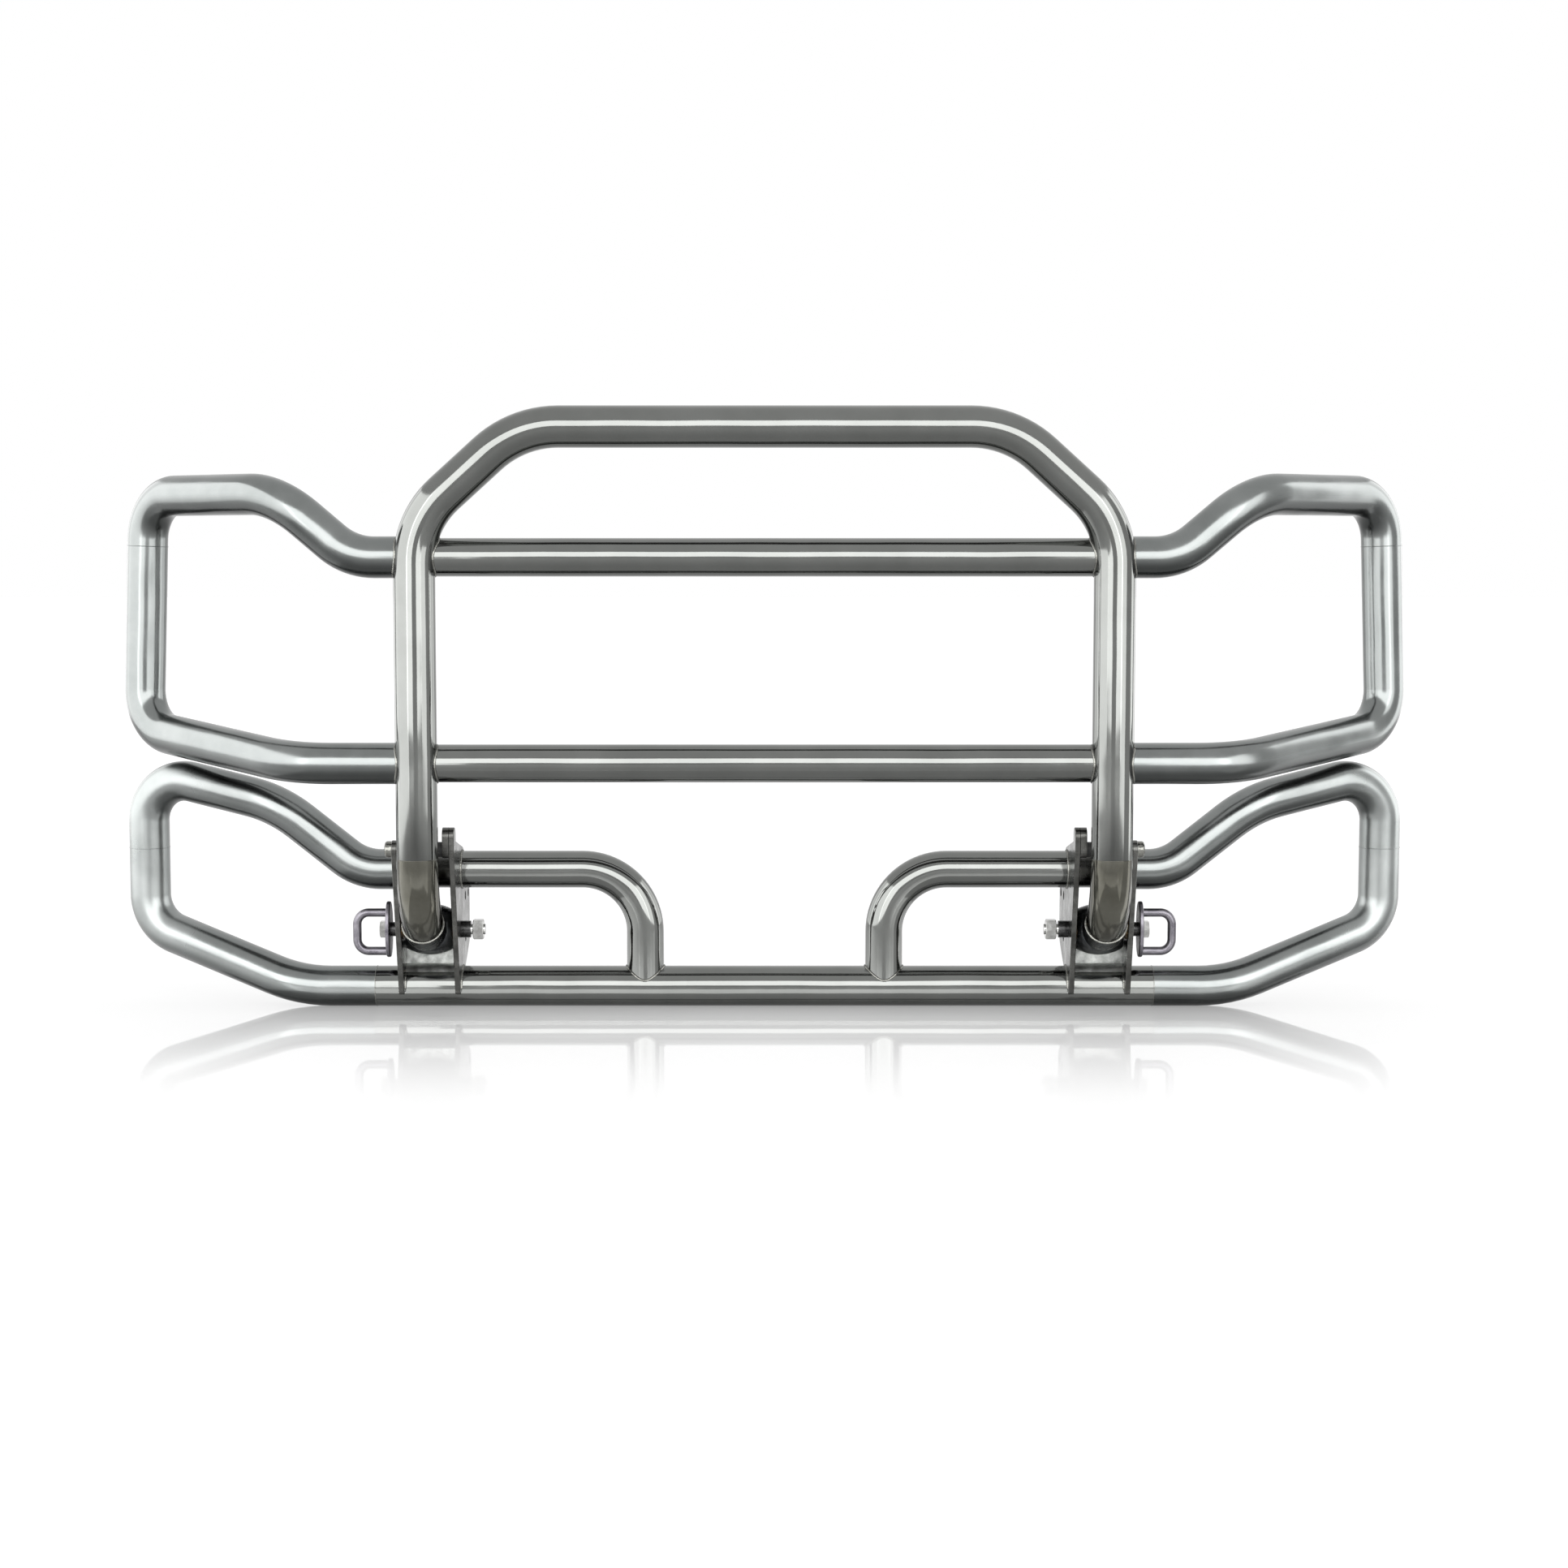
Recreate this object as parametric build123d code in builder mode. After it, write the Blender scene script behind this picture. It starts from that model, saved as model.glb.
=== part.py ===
"""Front grille guard for a highway truck, in polished steel tube.

The lower section (bottom tube, lower wings, inner arms and two pairs of bracket plates) bolts to the
truck. The upper section (hoop, cross bars and upper wings) tilts forward on a screw in each bracket.

Millimetres. +Z is up, the guard's front faces -Y, and left is -X, as seen from in front.
The origin is on the ground, under the middle of the guard's box.
"""
import os
from math import cos, radians, sqrt, tan

from build123d import *

os.makedirs("parts", exist_ok=True)

# ---------------------------------------------------------------- driving dimensions
# Tube stock
tube_d = 76.2  # bent tube of the hoop, the wings, the elbows and the bottom tube
tube_wall = 3.0
bar_d = 70.0  # cross bars and inner arms
bar_wall = 3.0

# Hoop and cross bars
upright_spacing = 1270.0
hoop_top_width = 892.0  # between the corners of the top bar's centre line
hoop_top_z = 1085.0
shoulder_z = 914.0
shoulder_bend = 170.0
hoop_top_bend = 190.0
upper_bar_z = 850.0
lower_bar_z = 474.0
bar_setback = 20.0  # cross bars and wing roots behind the uprights

# Upper wings, round the headlights
wing_setback = 290.0  # tip behind the uprights
upper_neck = 118.0  # straight run beside the upright
upper_rise_run = 138.0
upper_rise = 115.0
upper_rise_setback = 40.0
upper_tip_top_x = 1178.0
upper_tip_low_x = 1194.0
upper_tip_low_z = 520.0
upper_seam_drop = 95.0  # butt weld under the tip's top corner
upper_low_run = 228.0
upper_neck_bend = 120.0
upper_rise_bend = 150.0
upper_corner_bend = 85.0
upper_low_bend = 200.0

# Lower wings, round the bumper's corners
lower_tip_x = 1184.0
lower_tip_low_z = 145.0
lower_tip_inset = 20.0  # tip in front of the upper wing's tip
lower_seam_drop = 147.0  # butt weld under the top corner, too
lower_neck = 75.0
lower_rise_run = 159.0
lower_rise = 123.0
lower_rise_setback = 15.0
lower_sweep_run = 145.0  # from the butt weld to the corner of the sweep
wing_clearance = 4.0  # between the upper and the lower wing
lower_neck_bend = 110.0
lower_rise_bend = 220.0
lower_top_bend = 78.0
lower_corner_bend = 80.0
lower_sweep_bend = 260.0

# Bottom tube and inner arms
bottom_tube_run = 47.0  # past the outer bracket plate, to the butt weld with the lower wing
bottom_offset = 25.0  # bottom tube behind the pivot
arm_z = 261.0
arm_x = 226.0
arm_bend = 118.0

# Elbow, hub and pivot
foot_bend = 150.0  # centre line of the elbow between upright and hub
hub_crown = 9.9  # hub stands proud of the elbow's tube at its middle
hub_inner_shoulder = 10.9  # hub past the elbow's tube, towards the middle of the guard
hub_outer_shoulder = 0.9
hub_end_drop = 12.0  # the barrel is this much smaller at its ends
hub_side_clearance = 1.0
hub_cradle_clearance = 1.0
bush_wall = 3.0
bush_flange = 6.0
bush_flange_t = 3.0
bush_length = 30.0

# Brackets
plate_t = 10.0
plate_edge = 1.0  # chamfer round the outline of each plate
plate_rim = 5.0  # plate round the arm's weld
ear_rim = 9.0  # plate round the stop pin
ear_rise = 12.0  # stop pin above the top of the elbow
inner_ear_rise = 24.0  # the inner plate's ear goes on above the pin
ear_pad_t = 12.0  # pad between the inner ear and the upright
nose_t = 15.0
nose_drop = 2.0  # nose's centre under the bottom tube's axis
saddle_t = 6.0
saddle_half_angle = 45.0
cradle_t = 8.0
cradle_rise = 18.8  # web between saddle and hub, at its lowest
cradle_side_rise = 24.0  # web beside the hub, above its lowest

# Truck bolts: four through each bracket, into the horn of the truck's frame
truck_bolt_hole_d = 17.5
truck_bolt_spacing_y = 50.0
truck_bolt_spacing_z = 80.0
truck_bolt_front = 72.0  # front pair behind the pivot
truck_bolt_drop = 25.0  # lower pair under the pivot
truck_bolt_rim = 24.0  # plate from the hole's centre to its edge

# Pivot screw with its handle
screw_d = 20.0
thread_pitch = 2.5
running_clearance = 0.08  # radial
free_gap = 0.3  # between pieces that slide past or rest near each other
screw_across_flats = 30.0
screw_head_t = 12.5
collar_d = 27.0
collar_t = 12.0
boss_d = 32.0  # threaded boss on the inner plate
boss_t = 18.0
end_nut_across_flats = 36.0
end_nut_t = 20.0
washer_t = 4.0
washer_d = 37.0
screw_end = 3.0
clamp_turns = 1.25
end_nut_margin = 1.25  # left between the end nut and the boss when the screw is slack
handle_plate_t = 8.0
handle_plate_round = 2.5
handle_plate_h = 106.0
handle_plate_w = 60.0
handle_rod_d = 16.0
handle_reach = 56.0  # plate's face to the grip's centre line
handle_span = 73.0  # between the legs' centre lines
handle_drop = 5.0  # ring's middle under the pivot
handle_bend = 22.0

# Hexagon heads and nuts
hexagon_face_share = 0.95  # flat end face, as a share of the width across flats
hexagon_bevel_angle = 30.0

# Stops behind the uprights
stop_pin_d = 16.0
stop_roller_d = 28.0
stop_head_d = 31.0
stop_head_t = 13.0
stop_head_round = 5.0

# ---------------------------------------------------------------- derived places
tube_r = tube_d / 2
bar_r = bar_d / 2
screw_r = screw_d / 2
screw_bore_r = screw_r + running_clearance

upright_x = upright_spacing / 2
upright_y = -wing_setback / 2  # puts the middle of the depth at y = 0
bar_y = upright_y + bar_setback
tip_y = upright_y + wing_setback
hub_r = tube_r + hub_crown
hub_length = tube_d + hub_inner_shoulder + hub_outer_shoulder
saddle_r = tube_r + saddle_t
pivot_y = upright_y + foot_bend
pivot_z = tube_d + saddle_t + cradle_rise + hub_cradle_clearance + hub_r
foot_z = pivot_z + foot_bend  # weld between upright and elbow
bottom_y = pivot_y + bottom_offset
bottom_z = tube_r

hub_x = upright_x + (hub_outer_shoulder - hub_inner_shoulder) / 2
bracket_gap = hub_length + 2 * (bush_flange_t + hub_side_clearance)
gap_inner_x = hub_x - bracket_gap / 2  # faces that look at the hub
gap_outer_x = hub_x + bracket_gap / 2
bracket_inner_x = gap_inner_x - plate_t  # faces that look away from it
bracket_outer_x = gap_outer_x + plate_t
bottom_tube_half = bracket_outer_x + bottom_tube_run
lower_sweep_start_x = bottom_tube_half + lower_sweep_run
stop_y = upright_y + tube_r + free_gap + stop_roller_d / 2
stop_z = foot_z + ear_rise
ear_r = stop_pin_d / 2 + ear_rim
truck_bolt_y = pivot_y + truck_bolt_front + truck_bolt_spacing_y / 2
truck_bolt_z = pivot_z - truck_bolt_drop + truck_bolt_spacing_z / 2
rear_bolt_y = truck_bolt_y + truck_bolt_spacing_y / 2
low_bolt_z = truck_bolt_z - truck_bolt_spacing_z / 2
high_bolt_z = truck_bolt_z + truck_bolt_spacing_z / 2

clamp_travel = clamp_turns * thread_pitch
sides = (("left", -1), ("right", 1))


def save(builder, name):
    """Label the finished piece and write it as one STEP file."""
    builder.part.label = name
    export_step(builder.part, f"parts/{name}.step")


def bent_tube(points, bends, outer_d, wall=0.0):
    """Round tube, or rod without a wall, along straight runs joined by one bend at each inner point."""
    with BuildPart() as tube:
        with BuildLine() as route:
            FilletPolyline(*points, radius=bends)
        with BuildSketch(Plane(origin=route.line @ 0, z_dir=route.line % 0)):
            Circle(outer_d / 2)
            if wall:
                Circle(outer_d / 2 - wall, mode=Mode.SUBTRACT)
        sweep()
    return tube.part


def point_along(start, end, distance):
    """Point at a distance from the start of a straight run."""
    run = Vector(*end) - Vector(*start)
    return tuple(Vector(*start) + run.normalized() * distance)


def hexagon(across_flats, length, bore_r=0.0):
    """Hexagon nut or head along +X from the origin, its corners turned off at both ends."""
    corner_r = across_flats / sqrt(3)
    face_r = hexagon_face_share * across_flats / 2
    bevel = (corner_r - face_r) * tan(radians(hexagon_bevel_angle))
    with BuildPart() as piece:
        with BuildSketch(Plane.YZ):
            RegularPolygon(across_flats / 2, 6, major_radius=False)
            if bore_r:
                Circle(bore_r, mode=Mode.SUBTRACT)
        extrude(amount=length)
        with BuildSketch(Plane.XY):
            with BuildLine():
                Polyline(
                    (0, 0), (0, face_r), (bevel, corner_r), (length - bevel, corner_r),
                    (length, face_r), (length, 0), close=True,
                )
            make_face()
        revolve(axis=Axis.X, mode=Mode.INTERSECT)
    return piece.part


def ring(outer_r, inner_r, length):
    """Washer, sleeve or, with no inner radius, shank along +X from the origin."""
    with BuildPart() as piece:
        with BuildSketch(Plane.YZ):
            Circle(outer_r)
            if inner_r:
                Circle(inner_r, mode=Mode.SUBTRACT)
        extrude(amount=length)
    return piece.part


def button(outer_r, length, edge_round):
    """Round head along +X from the origin, rounded at its far edge."""
    with BuildPart() as piece:
        with BuildSketch(Plane.YZ):
            Circle(outer_r)
        extrude(amount=length)
        fillet(piece.faces().sort_by(Axis.X)[-1].edges(), edge_round)
    return piece.part


def barrel(length, middle_r, end_r):
    """Barrel round the X axis, centred on the origin."""
    with BuildPart() as piece:
        with BuildSketch(Plane.XY):
            with BuildLine():
                ThreePointArc((-length / 2, end_r), (0, middle_r), (length / 2, end_r))
                Polyline((length / 2, end_r), (length / 2, 0), (-length / 2, 0), (-length / 2, end_r))
            make_face()
        revolve(axis=Axis.X)
    return piece.part


def along_x(direction, x, y, z):
    """Place at a point, with the piece's own +X turned along +X or -X."""
    return Plane(origin=(x, y, z), x_dir=(direction, 0, 0), z_dir=(0, 0, 1)).location


# ---------------------------------------------------------------- upper section
with BuildPart() as center_hoop:
    add(
        bent_tube(
            [
                (-upright_x, upright_y, foot_z),
                (-upright_x, upright_y, shoulder_z),
                (-hoop_top_width / 2, upright_y, hoop_top_z),
                (hoop_top_width / 2, upright_y, hoop_top_z),
                (upright_x, upright_y, shoulder_z),
                (upright_x, upright_y, foot_z),
            ],
            [shoulder_bend, hoop_top_bend, hoop_top_bend, shoulder_bend],
            tube_d,
            tube_wall,
        )
    )
save(center_hoop, "center_hoop")

# The cross bars are straight tubes, coped to the uprights at both ends. They sit a little behind the
# uprights' middle, so each one also meets the wing on the far side.
for bar_name, bar_z in (("upper_cross_bar", upper_bar_z), ("lower_cross_bar", lower_bar_z)):
    with BuildPart() as cross_bar:
        with BuildSketch(Plane.YZ.offset(-upright_x)):
            with Locations((bar_y, bar_z)):
                Circle(bar_r)
                Circle(bar_r - bar_wall, mode=Mode.SUBTRACT)
        extrude(amount=upright_spacing)
        with Locations((-upright_x, upright_y, bar_z), (upright_x, upright_y, bar_z)):
            Cylinder(tube_r, 2 * bar_d, mode=Mode.SUBTRACT)
    save(cross_bar, bar_name)

upper_neck_x = upright_x + upper_neck
upper_tip_top_z = upper_bar_z + upper_rise
for side, sign in sides:
    # The upper wing is two bent tubes, each coped to the upright and butt-welded to the other at the tip.
    upper_tip_top = (sign * upper_tip_top_x, tip_y, upper_tip_top_z)
    upper_tip_low = (sign * upper_tip_low_x, tip_y, upper_tip_low_z)
    upper_seam = point_along(upper_tip_top, upper_tip_low, upper_seam_drop)
    wing_top_tube = bent_tube(
        [
            (sign * upright_x, bar_y, upper_bar_z),
            (sign * upper_neck_x, bar_y, upper_bar_z),
            (sign * (upper_neck_x + upper_rise_run), upright_y + upper_rise_setback, upper_tip_top_z),
            upper_tip_top,
            upper_seam,
        ],
        [upper_neck_bend, upper_rise_bend, upper_corner_bend],
        tube_d,
        tube_wall,
    )
    wing_low_tube = bent_tube(
        [
            upper_seam,
            upper_tip_low,
            (sign * (upright_x + upper_low_run), bar_y, lower_bar_z),
            (sign * upright_x, bar_y, lower_bar_z),
        ],
        [upper_corner_bend, upper_low_bend],
        tube_d,
        tube_wall,
    )
    for wing_name, wing_tube in (("upper_wing_top", wing_top_tube), ("upper_wing_low", wing_low_tube)):
        with BuildPart() as upper_wing:
            add(wing_tube)
            with Locations((sign * upright_x, upright_y, (upper_bar_z + lower_bar_z) / 2)):
                Cylinder(tube_r, upper_bar_z - lower_bar_z + 2 * tube_d, mode=Mode.SUBTRACT)
        save(upper_wing, f"{wing_name}_{side}")

    # The hub is a cast barrel across the elbow's end, bored for a bush at each end.
    hub_place = Location((sign * hub_x, pivot_y, pivot_z))
    hub_blank = barrel(hub_length, hub_r, hub_r - hub_end_drop)
    with BuildPart() as foot_elbow:
        with BuildLine(Plane.YZ.offset(sign * upright_x)) as foot_route:
            CenterArc((pivot_y, foot_z), foot_bend, 180, 90)
        with BuildSketch(Plane(origin=foot_route.line @ 0, z_dir=foot_route.line % 0)):
            Circle(tube_r)
            Circle(tube_r - tube_wall, mode=Mode.SUBTRACT)
        sweep()
        with Locations(hub_place):
            add(hub_blank, mode=Mode.SUBTRACT)
    save(foot_elbow, f"foot_elbow_{side}")

    with BuildPart() as pivot_hub:
        with Locations(hub_place):
            add(hub_blank)
            Cylinder(screw_bore_r + bush_wall, hub_length, rotation=(0, 90, 0), mode=Mode.SUBTRACT)
    save(pivot_hub, f"pivot_hub_{side}")

    # Flanged bushes, one pressed into each end of the hub.
    with BuildPart() as hub_bushes:
        for end in (-1, 1):
            with Locations(along_x(end, sign * hub_x + end * hub_length / 2, pivot_y, pivot_z)):
                add(ring(screw_bore_r + bush_wall + bush_flange, screw_bore_r, bush_flange_t))
            with Locations(along_x(-end, sign * hub_x + end * hub_length / 2, pivot_y, pivot_z)):
                add(ring(screw_bore_r + bush_wall, screw_bore_r, bush_length))
    save(hub_bushes, f"hub_bushes_{side}")

# ---------------------------------------------------------------- lower section
with BuildPart() as bottom_tube:
    with BuildSketch(Plane.YZ.offset(-bottom_tube_half)):
        with Locations((bottom_y, bottom_z)):
            Circle(tube_r)
            Circle(tube_r - tube_wall, mode=Mode.SUBTRACT)
    extrude(amount=2 * bottom_tube_half)
save(bottom_tube, "bottom_tube")

lower_neck_x = bracket_outer_x + lower_neck
lower_tip_y = tip_y - lower_tip_inset
lower_tip_top_z = upper_tip_low_z - tube_d - wing_clearance
for side, sign in sides:
    # The lower wing is two bent tubes: one starts square on the outer bracket plate, and the other ends
    # in the butt weld of the bottom tube.
    lower_tip_top = (sign * lower_tip_x, lower_tip_y, lower_tip_top_z)
    lower_tip_low = (sign * lower_tip_x, lower_tip_y, lower_tip_low_z)
    lower_seam = point_along(lower_tip_top, lower_tip_low, lower_seam_drop)
    with BuildPart() as lower_wing_top:
        add(
            bent_tube(
                [
                    (sign * bracket_outer_x, bottom_y, arm_z),
                    (sign * lower_neck_x, bottom_y, arm_z),
                    (
                        sign * (lower_neck_x + lower_rise_run),
                        bottom_y + lower_rise_setback,
                        arm_z + lower_rise,
                    ),
                    lower_tip_top,
                    lower_seam,
                ],
                [lower_neck_bend, lower_rise_bend, lower_top_bend],
                tube_d,
                tube_wall,
            )
        )
    save(lower_wing_top, f"lower_wing_top_{side}")

    with BuildPart() as lower_wing_low:
        add(
            bent_tube(
                [
                    lower_seam,
                    lower_tip_low,
                    (sign * lower_sweep_start_x, bottom_y, bottom_z),
                    (sign * bottom_tube_half, bottom_y, bottom_z),
                ],
                [lower_corner_bend, lower_sweep_bend],
                tube_d,
                tube_wall,
            )
        )
    save(lower_wing_low, f"lower_wing_low_{side}")

    # The inner arm leaves the inner plate, turns down and is coped to the bottom tube.
    arm_tube = bent_tube(
        [
            (sign * bracket_inner_x, bottom_y, arm_z),
            (sign * arm_x, bottom_y, arm_z),
            (sign * arm_x, bottom_y, bottom_z),
        ],
        [arm_bend],
        bar_d,
        bar_wall,
    )
    with BuildPart() as inner_arm:
        add(arm_tube)
        with Locations((sign * arm_x, bottom_y, bottom_z)):
            Cylinder(tube_r, 2 * bar_d, rotation=(0, 90, 0), mode=Mode.SUBTRACT)
    save(inner_arm, f"inner_arm_{side}")

    # A bracket plate reaches from the ear over the arm's weld to the truck bolts, and its nose hooks
    # over the front of the bottom tube.
    for plate_name, plate_x in (
        ("bracket_inner_plate", bracket_inner_x),
        ("bracket_outer_plate", gap_outer_x),
    ):
        with BuildPart() as bracket_plate:
            with BuildSketch(Plane.YZ.offset(sign * plate_x)):
                with Locations((stop_y, stop_z)):
                    Circle(ear_r)
                with Locations((bottom_y, arm_z)):
                    Circle(tube_r + plate_rim)
                with Locations((rear_bolt_y, low_bolt_z), (rear_bolt_y, high_bolt_z)):
                    Circle(truck_bolt_rim)
                with Locations((bottom_y - tube_r - nose_t / 2, bottom_z - nose_drop)):
                    Circle(nose_t / 2)
                make_hull()
                if plate_x == bracket_inner_x:
                    with Locations((stop_y, stop_z + inner_ear_rise / 2)):
                        SlotCenterToCenter(inner_ear_rise, 2 * ear_r, rotation=90)
                with Locations((bottom_y, bottom_z)):
                    Circle(tube_r, mode=Mode.SUBTRACT)
                with Locations((pivot_y, pivot_z)):
                    Circle(screw_bore_r, mode=Mode.SUBTRACT)
                with Locations((stop_y, stop_z)):
                    Circle(stop_pin_d / 2, mode=Mode.SUBTRACT)
                with Locations((truck_bolt_y, truck_bolt_z)):
                    with GridLocations(truck_bolt_spacing_y, truck_bolt_spacing_z, 2, 2):
                        Circle(truck_bolt_hole_d / 2, mode=Mode.SUBTRACT)
            extrude(amount=sign * plate_t)
            plate_faces = bracket_plate.faces().sort_by(Axis.X)
            outline = plate_faces[0].outer_wire().edges() + plate_faces[-1].outer_wire().edges()
            chamfer(outline, plate_edge)
        save(bracket_plate, f"{plate_name}_{side}")

    # The saddle is a bent strip on top of the bottom tube, from plate to plate.
    bracket_start = Plane.YZ.offset(sign * hub_x - bracket_gap / 2)
    saddle_low_z = bottom_z + saddle_r * cos(radians(saddle_half_angle))
    with BuildPart() as tube_saddle:
        with BuildSketch(bracket_start):
            with Locations((bottom_y, bottom_z)):
                Circle(saddle_r)
                Circle(tube_r, mode=Mode.SUBTRACT)
            with Locations((bottom_y, saddle_low_z)):
                Rectangle(2 * saddle_r, saddle_r, align=(Align.CENTER, Align.MIN), mode=Mode.INTERSECT)
        extrude(amount=bracket_gap)
    save(tube_saddle, f"tube_saddle_{side}")

    # The cradle web stands on the saddle, and its hollow top follows the hub.
    web_top = pivot_z - hub_r - hub_cradle_clearance + cradle_side_rise
    hub_sweep = barrel(
        bracket_gap, hub_r + hub_cradle_clearance, hub_r + hub_cradle_clearance - hub_end_drop
    )
    with BuildPart() as cradle_web:
        with BuildSketch(bracket_start):
            with Locations((bottom_y, (bottom_z + web_top) / 2)):
                Rectangle(cradle_t, web_top - bottom_z)
            with Locations((bottom_y, bottom_z)):
                Circle(saddle_r, mode=Mode.SUBTRACT)
        extrude(amount=bracket_gap)
        with Locations((sign * hub_x, pivot_y, pivot_z)):
            add(hub_sweep, mode=Mode.SUBTRACT)
    save(cradle_web, f"cradle_web_{side}")

    # A pad doubles the inner ear, and the stop's roller fills the gap beside it.
    with BuildPart() as ear_pad:
        with BuildSketch(Plane.YZ.offset(sign * gap_inner_x)):
            with Locations((stop_y, stop_z + inner_ear_rise / 2)):
                SlotCenterToCenter(inner_ear_rise, 2 * ear_r, rotation=90)
            with Locations((stop_y, stop_z)):
                Circle(stop_pin_d / 2, mode=Mode.SUBTRACT)
        extrude(amount=sign * ear_pad_t)
    save(ear_pad, f"ear_pad_{side}")

    with BuildPart() as stop_roller:
        with BuildSketch(Plane.YZ.offset(sign * (gap_inner_x + ear_pad_t))):
            with Locations((stop_y, stop_z)):
                Circle(stop_roller_d / 2)
                Circle(stop_pin_d / 2, mode=Mode.SUBTRACT)
        extrude(amount=sign * (bracket_gap - ear_pad_t))
    save(stop_roller, f"stop_roller_{side}")

    # A short tube between the plates carries on from the inner arm to the lower wing.
    with BuildPart() as bracket_tube:
        with BuildSketch(bracket_start):
            with Locations((bottom_y, arm_z)):
                Circle(bar_r)
                Circle(bar_r - bar_wall, mode=Mode.SUBTRACT)
        extrude(amount=bracket_gap)
    save(bracket_tube, f"bracket_tube_{side}")

# ---------------------------------------------------------------- fasteners of the lower section
# The stop pins are headed outside and welded flush with the inner plates.
with BuildPart() as stop_pins:
    for side, sign in sides:
        with Locations(along_x(-sign, sign * bracket_outer_x, stop_y, stop_z)):
            add(ring(stop_pin_d / 2, 0, bracket_outer_x - bracket_inner_x))
        with Locations(along_x(sign, sign * bracket_outer_x, stop_y, stop_z)):
            add(button(stop_head_d / 2, stop_head_t, stop_head_round))
save(stop_pins, "stop_pins")

# The bosses are welded to the inner plates, and the pivot screws turn in their threads.
with BuildPart() as anchor_bosses:
    for side, sign in sides:
        with Locations(along_x(-sign, sign * bracket_inner_x, pivot_y, pivot_z)):
            add(ring(boss_d / 2, screw_bore_r, boss_t))
save(anchor_bosses, "anchor_bosses")

# ---------------------------------------------------------------- pivot screws with their handles
thrust_washer_x = bracket_outer_x + free_gap
collar_x = thrust_washer_x + washer_t + free_gap
handle_plate_x = collar_x + collar_t
handle_face_x = handle_plate_x + handle_plate_t
end_nut_x = bracket_inner_x - boss_t - clamp_travel - end_nut_margin
screw_length = handle_face_x - end_nut_x + end_nut_t + screw_end
for side, sign in sides:
    with BuildPart() as thrust_washer:
        with Locations(along_x(sign, sign * thrust_washer_x, pivot_y, pivot_z)):
            add(ring(washer_d / 2, screw_bore_r, washer_t))
    save(thrust_washer, f"thrust_washer_{side}")

    with BuildPart() as clamp_screw:
        with Locations(along_x(sign, sign * handle_face_x, pivot_y, pivot_z)):
            add(hexagon(screw_across_flats, screw_head_t))
        with Locations(along_x(-sign, sign * handle_face_x, pivot_y, pivot_z)):
            add(ring(screw_r, 0, screw_length))
    save(clamp_screw, f"clamp_screw_{side}")

    with BuildPart() as screw_collar:
        with Locations(along_x(sign, sign * collar_x, pivot_y, pivot_z)):
            add(ring(collar_d / 2, screw_r, collar_t))
    save(screw_collar, f"screw_collar_{side}")

    with BuildPart() as end_nut:
        with Locations(along_x(-sign, sign * end_nut_x, pivot_y, pivot_z)):
            add(hexagon(end_nut_across_flats, end_nut_t, screw_r))
    save(end_nut, f"end_nut_{side}")

    with BuildPart() as handle_plate:
        with BuildSketch(Plane.YZ.offset(sign * handle_plate_x)):
            with Locations((pivot_y, pivot_z)):
                Ellipse(handle_plate_w / 2, handle_plate_h / 2)
                Circle(screw_r, mode=Mode.SUBTRACT)
        extrude(amount=sign * handle_plate_t)
        fillet(handle_plate.edges().filter_by(GeomType.ELLIPSE), handle_plate_round)
    save(handle_plate, f"handle_plate_{side}")

    grip_x = sign * (handle_face_x + handle_reach)
    grip_top_z = pivot_z - handle_drop + handle_span / 2
    grip_low_z = grip_top_z - handle_span
    handle_rod = bent_tube(
        [
            (sign * handle_face_x, pivot_y, grip_top_z),
            (grip_x, pivot_y, grip_top_z),
            (grip_x, pivot_y, grip_low_z),
            (sign * handle_face_x, pivot_y, grip_low_z),
        ],
        [handle_bend, handle_bend],
        handle_rod_d,
    )
    with BuildPart() as handle_ring:
        add(handle_rod)
    save(handle_ring, f"handle_ring_{side}")
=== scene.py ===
# %% [markdown]
# # A front grille guard in polished tube
#
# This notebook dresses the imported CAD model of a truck's grille guard for a picture. The CAD nodes give
# every size and every moving body. Here the tubes get a finer surface, the joints get their welds, and
# every piece gets a finish made of nodes.

# %% Load the frame
from math import cos, radians, sin, tan

import bpy
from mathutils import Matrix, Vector


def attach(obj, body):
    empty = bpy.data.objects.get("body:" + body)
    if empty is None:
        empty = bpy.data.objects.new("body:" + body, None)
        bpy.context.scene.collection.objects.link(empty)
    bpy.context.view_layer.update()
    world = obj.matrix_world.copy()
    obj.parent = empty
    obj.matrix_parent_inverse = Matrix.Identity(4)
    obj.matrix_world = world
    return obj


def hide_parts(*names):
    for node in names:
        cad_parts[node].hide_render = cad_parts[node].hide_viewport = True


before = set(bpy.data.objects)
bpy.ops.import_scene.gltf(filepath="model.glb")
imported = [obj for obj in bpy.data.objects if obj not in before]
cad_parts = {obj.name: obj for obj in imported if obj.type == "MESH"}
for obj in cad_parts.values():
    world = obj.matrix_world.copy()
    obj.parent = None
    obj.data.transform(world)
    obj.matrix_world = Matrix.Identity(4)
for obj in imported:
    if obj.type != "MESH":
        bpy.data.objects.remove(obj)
bpy.ops.object.select_all(action="DESELECT")
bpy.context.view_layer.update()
print("CAD nodes:", len(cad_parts))

# %% [markdown]
# ## Camera
#
# The guard is seen from in front, a little from above, with a normal lens. A camera that turns towards
# the guard would make the two halves differ in size, so the small shift moves the picture sideways
# instead. A long distance keeps the uprights nearly parallel.

# %% Camera
camera_height = 0.8738
camera_distance = 5.126
camera_pitch = 5.0
camera_lens = 62.94
camera_sensor = 36.0
camera_shift = 0.0124
camera_reach = 200.0

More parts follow.
